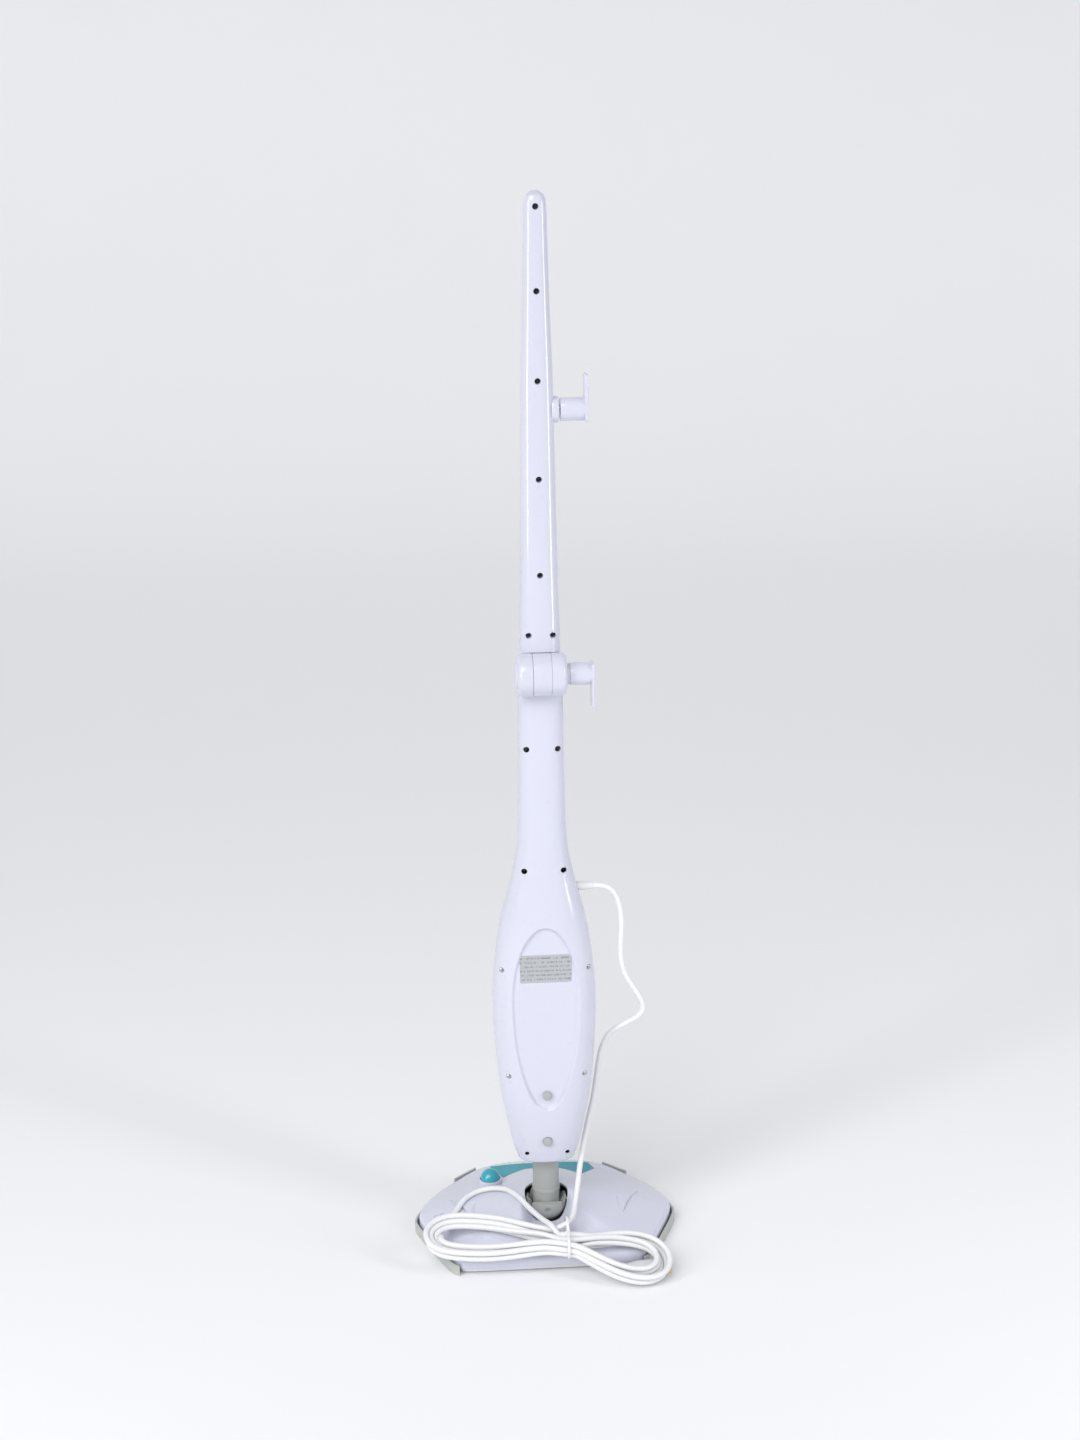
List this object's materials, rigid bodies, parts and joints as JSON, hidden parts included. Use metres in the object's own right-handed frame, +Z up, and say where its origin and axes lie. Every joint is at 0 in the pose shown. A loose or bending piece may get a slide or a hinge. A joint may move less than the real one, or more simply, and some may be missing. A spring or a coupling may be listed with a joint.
{
  "type": "steam mop",
  "caption": "Upright steam mop with a wide curved head on a carpet glider, a tilting neck, a slim casing with a removable water tank, a folding handle with cord hooks, and a bundled mains cord.",
  "frame": {"origin": "on the floor, under the middle of the head's carpet glider", "axes": "+Z up along the upright mop, +Y forwards, the way the mop is pushed (tank side), +X to the right as seen from behind, the side with the cord hooks"},
  "size_m": [0.3124, 0.277, 1.2],
  "materials": {
    "white_gloss": "gloss",
    "white_matte": "satin",
    "grey_plastic": "satin",
    "glider_grey": "satin",
    "pale_mint": "gloss",
    "teal": "gloss",
    "dark_plastic": "matte",
    "screw_steel": "satin",
    "foil": "satin",
    "foot_rubber": "matte",
    "clear_tank": "gloss",
    "cord_sheath": "satin",
    "plug_moulding": "satin",
    "heater_metal": "satin",
    "copper_brass": "satin",
    "board_green": "satin",
    "hose_silicone": "satin",
    "seal_rubber": "matte",
    "lens_red": "gloss",
    "hook_tape": "matte"
  },
  "bodies": {
    "head": {"head_shell": "white_gloss", "head_inlay": "teal", "inlay_strip": "pale_mint", "base_plate": "white_matte", "steam_manifold": "grey_plastic", "hook_strips": "hook_tape", "head_screws": "screw_steel", "pivot_bracket": "grey_plastic", "steam_elbow": "hose_silicone", "carpet_glider": "glider_grey", "cord_tail": "cord_sheath", "cord_hank_left": "cord_sheath", "cord_hank_right": "cord_sheath", "cord_waist": "cord_sheath", "cord_tie": "cord_sheath", "cord_end": "cord_sheath", "power_plug": "plug_moulding"},
    "pedal": {"foot_button": "teal"},
    "yoke": {"yoke": "grey_plastic", "yoke_trunnions": "screw_steel", "neck_pins": "screw_steel"},
    "casing": {"neck_tube": "grey_plastic", "neck_band": "grey_plastic", "neck_collar": "white_gloss", "rear_cover": "white_gloss", "front_cover": "white_gloss", "cover_screws": "dark_plastic", "bright_screws": "screw_steel", "rating_sticker": "foil", "bumper_feet": "foot_rubber", "boiler": "heater_metal", "thermostat": "copper_brass", "water_pump": "dark_plastic", "control_board": "board_green", "steam_hose": "hose_silicone", "water_hose": "hose_silicone", "mains_wires": "dark_plastic", "casing_loom": "dark_plastic", "status_lens": "lens_red", "dial_shaft": "dark_plastic", "hinge_knuckle": "white_gloss", "hinge_pin": "screw_steel", "lower_hook": "white_gloss", "cord_gland": "plug_moulding", "cord_lead": "cord_sheath"},
    "dial": {"steam_dial": "teal"},
    "tank": {"tank_shell": "clear_tank", "tank_seal": "seal_rubber"},
    "cap": {"tank_cap": "teal"},
    "handle": {"handle_rear": "white_gloss", "handle_front": "white_gloss", "handle_screws": "dark_plastic", "hinge_clevis": "white_gloss", "hook_disc": "white_gloss", "hook_axle": "screw_steel", "microswitch": "dark_plastic", "handle_loom": "dark_plastic"},
    "latch": {"fold_button": "white_gloss"},
    "hook": {"upper_hook": "white_gloss"},
    "trigger": {"steam_button": "teal"}
  },
  "joints": [
    {"name": "pedal_press", "type": "slide", "parent": "head", "child": "pedal", "axis": [0, 0, -1], "range_m": [0, 0.004], "stiffness_N_per_m": 800},
    {"name": "head_pitch", "type": "hinge", "parent": "head", "child": "yoke", "pos_m": [0, -0.02651, 0.045], "axis": [1, 0, 0], "range_deg": [0, 50], "deforming": ["cord_tail"]},
    {"name": "head_swing", "type": "hinge", "parent": "yoke", "child": "casing", "pos_m": [0, -0.02651, 0.045], "axis": [0, 1, 0], "range_deg": [-22, 22], "deforming": ["cord_tail"]},
    {"name": "steam_level", "type": "hinge", "parent": "casing", "child": "dial", "pos_m": [0, -0.03451, 0.43], "axis": [0, 1, 0], "range_deg": [0, 270]},
    {"name": "tank_pull", "type": "slide", "parent": "casing", "child": "tank", "axis": [0, 1, 0], "range_m": [0, 0.08]},
    {"name": "cap_turn", "type": "hinge", "parent": "tank", "child": "cap", "pos_m": [0, 0.00449, 0.38], "axis": [0, 0, 1], "range_deg": [0, 90]},
    {"name": "handle_fold", "type": "hinge", "parent": "casing", "child": "handle", "pos_m": [0, -0.05551, 0.693], "axis": [1, 0, 0], "range_deg": [0, 175]},
    {"name": "latch_press", "type": "slide", "parent": "handle", "child": "latch", "axis": [1, 0, 0], "range_m": [0, 0.003], "stiffness_N_per_m": 800},
    {"name": "hook_turn", "type": "hinge", "parent": "handle", "child": "hook", "pos_m": [0.03, -0.03451, 0.976], "axis": [1, 0, 0], "range_deg": [0, 180]},
    {"name": "trigger_press", "type": "slide", "parent": "handle", "child": "trigger", "axis": [0, -1, 0], "range_m": [0, 0.004], "stiffness_N_per_m": 600}
  ]
}
